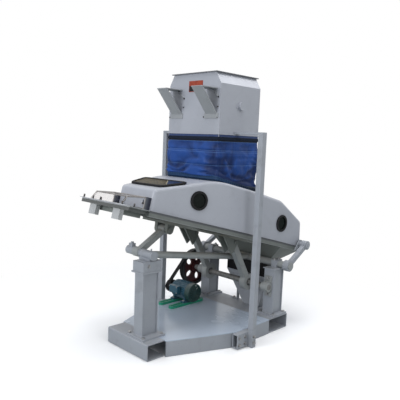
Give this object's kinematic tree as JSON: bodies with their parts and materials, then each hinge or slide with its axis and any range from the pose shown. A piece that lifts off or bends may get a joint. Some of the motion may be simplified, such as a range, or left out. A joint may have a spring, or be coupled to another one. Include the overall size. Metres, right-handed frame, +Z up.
{
  "type": "rice destoner",
  "caption": "Suction type gravity destoner: an inclined sieve under a hood, rocked on swing arms by an eccentric drive, with a cloth joined air duct above.",
  "frame": {"origin": "on the floor, at the middle of the base's length and width", "axes": "+X towards the low end where the rice leaves, +Y to the rear where the belts run, +Z up"},
  "size_m": [1.673, 1.011, 1.906],
  "materials": {
    "grey_paint": "satin grey machine enamel",
    "bright_steel": "turned steel",
    "woven_screen": "woven wire screen",
    "motor_paint": "blue green enamel",
    "rail_paint": "green enamel",
    "belt_rubber": "matt",
    "black_rubber": "matt",
    "pane_glass": "clear",
    "clear_plastic": "clear acrylic",
    "blue_cloth": "tarpaulin cloth",
    "dark_cloth": "dark band of cloth",
    "plate_red": "red enamel",
    "pulley_iron": "maroon enamel, black rim"
  },
  "bodies": {
    "base": {"base_aprons": "grey_paint", "base_deck_plate": "grey_paint", "base_end_channels": "grey_paint", "blank_plate": "plate_red", "box_posts": "grey_paint", "box_support_bars": "grey_paint", "cloth_sleeve": "blue_cloth", "cloth_strap": "dark_cloth", "column_foot_bolts": "bright_steel", "cross_tube_clamps": "grey_paint", "motor_fan_cowl": "motor_paint", "motor_frame": "motor_paint", "motor_slide_rails": "rail_paint", "outlet_chute": "grey_paint", "outlet_sleeve": "black_rubber", "post_brackets": "grey_paint", "rice_columns": "grey_paint", "rice_cross_tube": "grey_paint", "shaft_bearings": "grey_paint", "stone_column": "grey_paint", "stone_column_cap": "grey_paint", "stone_pivot_clamp": "grey_paint", "stone_pivot_housing": "grey_paint", "stone_pivot_pin": "bright_steel", "strip_brackets": "grey_paint", "suction_box": "grey_paint", "suction_box_flange": "grey_paint", "tie_pipe": "grey_paint", "v_belts": "belt_rubber"},
    "stone_arm": {"stone_swing_arm": "grey_paint"},
    "sieve_body": {"hood_shell": "grey_paint", "sieve_rim": "grey_paint", "screen_deck": "woven_screen", "sieve_cross_members": "grey_paint", "cloth_collar": "grey_paint", "sight_gaskets": "black_rubber", "sight_panes": "pane_glass", "stone_pivot_bracket": "grey_paint", "rice_pivot_brackets": "grey_paint", "rod_brackets": "grey_paint", "stone_tray": "grey_paint", "stone_end_bar": "grey_paint", "stone_spouts": "grey_paint", "tray_under_box": "grey_paint", "clear_cover": "clear_plastic", "tray_bolts": "bright_steel", "discharge_funnel": "grey_paint"},
    "rice_arm_front": {"rice_swing_arm_front": "grey_paint"},
    "rice_arm_rear": {"rice_swing_arm_rear": "grey_paint"},
    "rod_front": {"connecting_rod_front": "grey_paint"},
    "rod_rear": {"connecting_rod_rear": "grey_paint"},
    "eccentric": {"eccentric_shaft": "bright_steel", "big_pulley": "pulley_iron"},
    "motor_rotor": {"motor_shaft": "bright_steel", "motor_pulley": "pulley_iron"},
    "damper": {"damper_shaft": "bright_steel", "damper_flap": "grey_paint"},
    "gate": {"stone_gate": "grey_paint"}
  },
  "joints": [
    {"name": "stone_arm_swing", "type": "hinge", "parent": "base", "child": "stone_arm", "pos_m": [-0.515, 0.04, 0.665], "axis": [0, 1, 0], "range_deg": [-0.76, 0.76]},
    {"name": "sieve_pivot", "type": "hinge", "parent": "stone_arm", "child": "sieve_body", "pos_m": [-0.29008, 0.04, 0.80015], "axis": [0, 1, 0], "range_deg": [-0.76, 0.76]},
    {"name": "rice_arm_front_swing", "type": "hinge", "parent": "base", "child": "rice_arm_front", "pos_m": [0.56, -0.446, 0.505], "axis": [0, 1, 0], "range_deg": [-0.76, 0.76]},
    {"name": "rice_arm_rear_swing", "type": "hinge", "parent": "base", "child": "rice_arm_rear", "pos_m": [0.56, 0.446, 0.505], "axis": [0, 1, 0], "range_deg": [-0.76, 0.76]},
    {"name": "rod_front_swing", "type": "hinge", "parent": "sieve_body", "child": "rod_front", "pos_m": [0.22998, -0.15, 0.68087], "axis": [0, 1, 0], "range_deg": [-0.5, 0.5]},
    {"name": "rod_rear_swing", "type": "hinge", "parent": "sieve_body", "child": "rod_rear", "pos_m": [0.22998, 0.266, 0.68087], "axis": [0, 1, 0], "range_deg": [-0.5, 0.5]},
    {"name": "eccentric_spin", "type": "hinge", "parent": "base", "child": "eccentric", "pos_m": [0.436, 0, 0.338], "axis": [0, 1, 0], "continuous": true},
    {"name": "motor_spin", "type": "hinge", "parent": "base", "child": "motor_rotor", "pos_m": [0.175, 0.43, 0.212], "axis": [0, 1, 0], "continuous": true},
    {"name": "damper_turn", "type": "hinge", "parent": "base", "child": "damper", "pos_m": [0.1335, 0, 1.681], "axis": [0, 1, 0], "range_deg": [0, 90]},
    {"name": "gate_slide", "type": "slide", "parent": "sieve_body", "child": "gate", "axis": [0.2504, 0, 0.9681], "range_m": [0, 0.02]}
  ],
  "couplings": [
    {"joint": "sieve_pivot", "follows": "stone_arm_swing", "ratio": -1},
    {"joint": "rice_arm_front_swing", "follows": "stone_arm_swing", "ratio": 1},
    {"joint": "rice_arm_rear_swing", "follows": "stone_arm_swing", "ratio": 1},
    {"joint": "rod_rear_swing", "follows": "rod_front_swing", "ratio": 1},
    {"joint": "motor_spin", "follows": "eccentric_spin", "ratio": 3}
  ]
}
